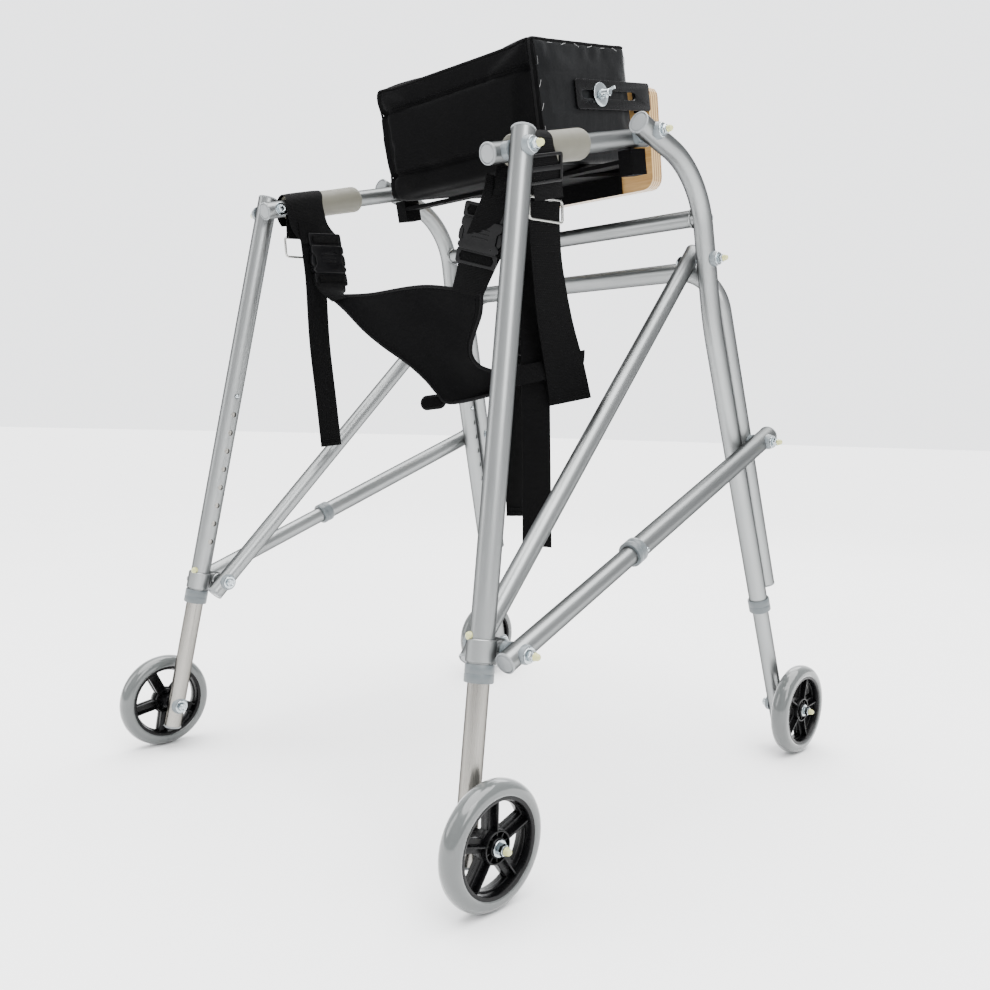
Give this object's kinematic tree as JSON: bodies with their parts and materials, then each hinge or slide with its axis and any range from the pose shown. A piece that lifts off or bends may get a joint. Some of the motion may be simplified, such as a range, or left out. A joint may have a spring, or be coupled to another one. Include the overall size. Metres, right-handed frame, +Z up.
{
  "type": "front wheeled walker",
  "caption": "Folding four-wheeled walking frame with telescopic legs, hand grips, a sling seat and a chest pad on a slotted board.",
  "frame": {"origin": "on the floor, midway between the wheels", "axes": "+Z up, +Y the way the walker travels, +X to the user's right"},
  "size_m": [0.7198, 0.7678, 0.9604],
  "materials": {
    "satin_aluminium": "satin, lightly brushed",
    "grey_collar": "moulded plastic collars and caps",
    "grey_grip": "smooth soft vinyl",
    "wheel": "moulded nylon rim, glossy",
    "black_steel": "powder coated",
    "zinc_plate": "zinc plated",
    "black_vinyl": "vinyl and neoprene over foam",
    "black_webbing": "woven nylon",
    "plywood": "clear varnish, plies showing at the edges"
  },
  "bodies": {
    "front_frame": {"upper_crossbar": "satin_aluminium", "u_frame": "satin_aluminium", "front_leg_left": "satin_aluminium", "front_collar_left": "grey_collar", "diagonal_bolt_left": "zinc_plate", "front_leg_right": "satin_aluminium", "front_collar_right": "grey_collar", "diagonal_bolt_right": "zinc_plate"},
    "rails": {"pad_carrier": "black_steel", "backboard": "plywood", "handle_rail_left": "satin_aluminium", "hand_grip_left": "grey_grip", "pad_bracket_left": "black_steel", "rail_front_bolt_left": "zinc_plate", "rail_rear_bolt_left": "zinc_plate", "handle_rail_right": "satin_aluminium", "hand_grip_right": "grey_grip", "pad_bracket_right": "black_steel", "rail_front_bolt_right": "zinc_plate", "rail_rear_bolt_right": "zinc_plate"},
    "chest_pad": {"chest_pad": "black_vinyl", "pad_bolt_left": "zinc_plate", "pad_bolt_right": "zinc_plate"},
    "sling": {"sling_seat": "black_webbing", "front_strap": "black_webbing", "webbing_tail": "black_webbing"},
    "rear_leg_left": {"rear_leg_left": "satin_aluminium", "rear_collar_left": "grey_collar", "brace_clamp_left": "satin_aluminium", "clamp_bolt_left": "zinc_plate"},
    "diagonal_brace_left": {"diagonal_brace_left": "satin_aluminium"},
    "brace_inner_left": {"brace_inner_tube_left": "satin_aluminium"},
    "brace_outer_left": {"brace_outer_tube_left": "satin_aluminium", "brace_bolt_left": "zinc_plate"},
    "rear_extension_left": {"rear_extension_left": "satin_aluminium", "rear_axle_bolt_left": "zinc_plate"},
    "front_extension_left": {"front_extension_left": "satin_aluminium", "front_axle_bolt_left": "zinc_plate"},
    "rear_wheel_left": {"rear_wheel_left": "wheel"},
    "front_wheel_left": {"front_wheel_left": "wheel"},
    "rear_button_left": {"rear_snap_button_left": "zinc_plate"},
    "front_button_left": {"front_snap_button_left": "zinc_plate"},
    "brace_button_left": {"brace_button_left": "zinc_plate"},
    "rear_leg_right": {"rear_leg_right": "satin_aluminium", "rear_collar_right": "grey_collar", "brace_clamp_right": "satin_aluminium", "clamp_bolt_right": "zinc_plate"},
    "diagonal_brace_right": {"diagonal_brace_right": "satin_aluminium"},
    "brace_inner_right": {"brace_inner_tube_right": "satin_aluminium"},
    "brace_outer_right": {"brace_outer_tube_right": "satin_aluminium", "brace_bolt_right": "zinc_plate"},
    "rear_extension_right": {"rear_extension_right": "satin_aluminium", "rear_axle_bolt_right": "zinc_plate"},
    "front_extension_right": {"front_extension_right": "satin_aluminium", "front_axle_bolt_right": "zinc_plate"},
    "rear_wheel_right": {"rear_wheel_right": "wheel"},
    "front_wheel_right": {"front_wheel_right": "wheel"},
    "rear_button_right": {"rear_snap_button_right": "zinc_plate"},
    "front_button_right": {"front_snap_button_right": "zinc_plate"},
    "brace_button_right": {"brace_button_right": "zinc_plate"}
  },
  "joints": [
    {"name": "fold", "type": "hinge", "parent": "front_frame", "child": "rails", "pos_m": [0, 0.013, 0.8125], "axis": [1, 0, 0], "range_deg": [0, 56]},
    {"name": "pad_depth", "type": "slide", "parent": "rails", "child": "chest_pad", "axis": [0, 0.9732, 0.23], "range_m": [0, 0.027]},
    {"name": "sling_hang", "type": "hinge", "parent": "rails", "child": "sling", "pos_m": [0, -0.158, 0.7601], "axis": [1, 0, 0], "range_deg": [-56, 0]},
    {"name": "rear_leg_fold_left", "type": "hinge", "parent": "rails", "child": "rear_leg_left", "pos_m": [-0.2393, -0.213, 0.7435], "axis": [1, 0, 0], "range_deg": [-39.6, 0]},
    {"name": "diagonal_fold_left", "type": "hinge", "parent": "rear_leg_left", "child": "diagonal_brace_left", "pos_m": [-0.25, -0.269, 0.237], "axis": [1, 0, 0], "range_deg": [0, 15.92]},
    {"name": "brace_fold_left", "type": "hinge", "parent": "rear_leg_left", "child": "brace_inner_left", "pos_m": [-0.305, -0.269, 0.237], "axis": [1, 0, 0], "range_deg": [0, 21.8]},
    {"name": "brace_slide_left", "type": "slide", "parent": "brace_inner_left", "child": "brace_outer_left", "axis": [0.0393, 0.9219, 0.3854], "range_m": [-0.1317, 0], "deforming": ["brace_button_left"]},
    {"name": "rear_height_left", "type": "slide", "parent": "rear_leg_left", "child": "rear_extension_left", "axis": [-0.074, -0.159, -0.9845], "range_m": [0, 0.2032], "deforming": ["rear_snap_button_left"]},
    {"name": "rear_wheel_spin_left", "type": "hinge", "parent": "rear_extension_left", "child": "rear_wheel_left", "pos_m": [-0.3247, -0.32045, 0.0635], "axis": [1, 0, 0], "continuous": true},
    {"name": "rear_button_press_left", "type": "slide", "parent": "rear_extension_left", "child": "rear_button_left", "axis": [-1, 0, 0], "range_m": [0, 0.0035], "stiffness_N_per_m": 1500, "springref_m": -0.001},
    {"name": "front_height_left", "type": "slide", "parent": "front_frame", "child": "front_extension_left", "axis": [-0.0692, 0.2829, -0.9566], "range_m": [0, 0.2032], "deforming": ["front_snap_button_left"]},
    {"name": "front_wheel_spin_left", "type": "hinge", "parent": "front_extension_left", "child": "front_wheel_left", "pos_m": [-0.3169, 0.32045, 0.0635], "axis": [1, 0, 0], "continuous": true},
    {"name": "front_button_press_left", "type": "slide", "parent": "front_extension_left", "child": "front_button_left", "axis": [-1, 0, 0], "range_m": [0, 0.0035], "stiffness_N_per_m": 1500, "springref_m": -0.001},
    {"name": "brace_button_press_left", "type": "slide", "parent": "brace_inner_left", "child": "brace_button_left", "axis": [1, 0, 0], "range_m": [0, 0.0035], "stiffness_N_per_m": 1500, "springref_m": -0.001},
    {"name": "rear_leg_fold_right", "type": "hinge", "parent": "rails", "child": "rear_leg_right", "pos_m": [0.2393, -0.213, 0.7435], "axis": [1, 0, 0], "range_deg": [-39.6, 0]},
    {"name": "diagonal_fold_right", "type": "hinge", "parent": "rear_leg_right", "child": "diagonal_brace_right", "pos_m": [0.25, -0.269, 0.237], "axis": [1, 0, 0], "range_deg": [0, 15.92]},
    {"name": "brace_fold_right", "type": "hinge", "parent": "rear_leg_right", "child": "brace_inner_right", "pos_m": [0.305, -0.269, 0.237], "axis": [1, 0, 0], "range_deg": [0, 21.8]},
    {"name": "brace_slide_right", "type": "slide", "parent": "brace_inner_right", "child": "brace_outer_right", "axis": [-0.0393, 0.9219, 0.3854], "range_m": [-0.1317, 0], "deforming": ["brace_button_right"]},
    {"name": "rear_height_right", "type": "slide", "parent": "rear_leg_right", "child": "rear_extension_right", "axis": [0.074, -0.159, -0.9845], "range_m": [0, 0.2032], "deforming": ["rear_snap_button_right"]},
    {"name": "rear_wheel_spin_right", "type": "hinge", "parent": "rear_extension_right", "child": "rear_wheel_right", "pos_m": [0.3247, -0.32045, 0.0635], "axis": [1, 0, 0], "continuous": true},
    {"name": "rear_button_press_right", "type": "slide", "parent": "rear_extension_right", "child": "rear_button_right", "axis": [1, 0, 0], "range_m": [0, 0.0035], "stiffness_N_per_m": 1500, "springref_m": -0.001},
    {"name": "front_height_right", "type": "slide", "parent": "front_frame", "child": "front_extension_right", "axis": [0.0692, 0.2829, -0.9566], "range_m": [0, 0.2032], "deforming": ["front_snap_button_right"]},
    {"name": "front_wheel_spin_right", "type": "hinge", "parent": "front_extension_right", "child": "front_wheel_right", "pos_m": [0.3169, 0.32045, 0.0635], "axis": [1, 0, 0], "continuous": true},
    {"name": "front_button_press_right", "type": "slide", "parent": "front_extension_right", "child": "front_button_right", "axis": [1, 0, 0], "range_m": [0, 0.0035], "stiffness_N_per_m": 1500, "springref_m": -0.001},
    {"name": "brace_button_press_right", "type": "slide", "parent": "brace_inner_right", "child": "brace_button_right", "axis": [-1, 0, 0], "range_m": [0, 0.0035], "stiffness_N_per_m": 1500, "springref_m": -0.001}
  ],
  "couplings": [
    {"joint": "sling_hang", "follows": "fold", "ratio": -1},
    {"joint": "rear_leg_fold_left", "follows": "fold", "ratio": -0.70634},
    {"joint": "diagonal_fold_left", "follows": "fold", "ratio": 0.28341},
    {"joint": "brace_fold_left", "follows": "fold", "ratio": 0.38832},
    {"joint": "brace_slide_left", "follows": "fold", "m_per_rad": -0.13453},
    {"joint": "rear_leg_fold_right", "follows": "fold", "ratio": -0.70634},
    {"joint": "diagonal_fold_right", "follows": "fold", "ratio": 0.28341},
    {"joint": "brace_fold_right", "follows": "fold", "ratio": 0.38832},
    {"joint": "brace_slide_right", "follows": "fold", "m_per_rad": -0.13453}
  ]
}
